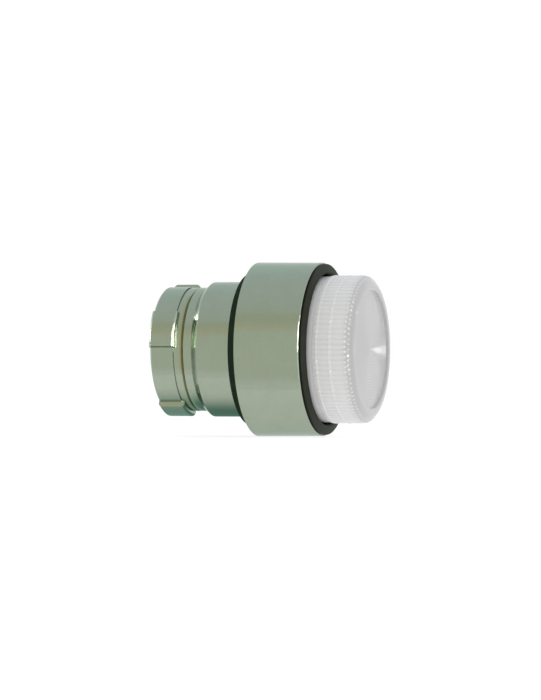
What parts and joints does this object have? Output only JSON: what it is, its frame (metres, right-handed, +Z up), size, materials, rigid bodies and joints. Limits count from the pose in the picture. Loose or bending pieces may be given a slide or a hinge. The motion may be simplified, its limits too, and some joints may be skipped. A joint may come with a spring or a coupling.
{
  "type": "illuminated push button",
  "caption": "Illuminated push button head for a round panel hole: chromed barrel with bayonet lugs, wide bezel, black guard ring and a proud ribbed white lens that springs back.",
  "frame": {"origin": "on the button's axis, in the plane of the panel's front face, where the panel gasket seats", "axes": "+Y along the axis to the rear, the way the panel comes off the barrel; the button faces -Y; +Z up"},
  "size_m": [0.0283, 0.0345, 0.0282],
  "materials": {
    "chrome": "satin chrome plate",
    "black_plastic": "satin",
    "rubber": "matt",
    "lens_white": "translucent white",
    "white_plastic": "satin",
    "grey_plastic": "satin",
    "steel": "bright"
  },
  "bodies": {
    "head": {"body": "chrome", "panel_gasket": "rubber", "bezel": "chrome", "guard_ring": "black_plastic", "guide_bush": "black_plastic", "shaft_seal": "rubber", "spring_seat": "steel", "return_spring": "steel"},
    "button": {"plunger": "grey_plastic", "retaining_ring": "steel", "contact_pusher": "black_plastic", "lens_holder": "white_plastic", "lens_gasket": "rubber", "diffuser": "white_plastic", "lens": "lens_white"}
  },
  "joints": [
    {"name": "button_press", "type": "slide", "parent": "head", "child": "button", "axis": [0, 1, 0], "range_m": [0, 0.0045], "stiffness_N_per_m": 350, "springref_m": -0.006, "deforming": ["return_spring"]}
  ]
}
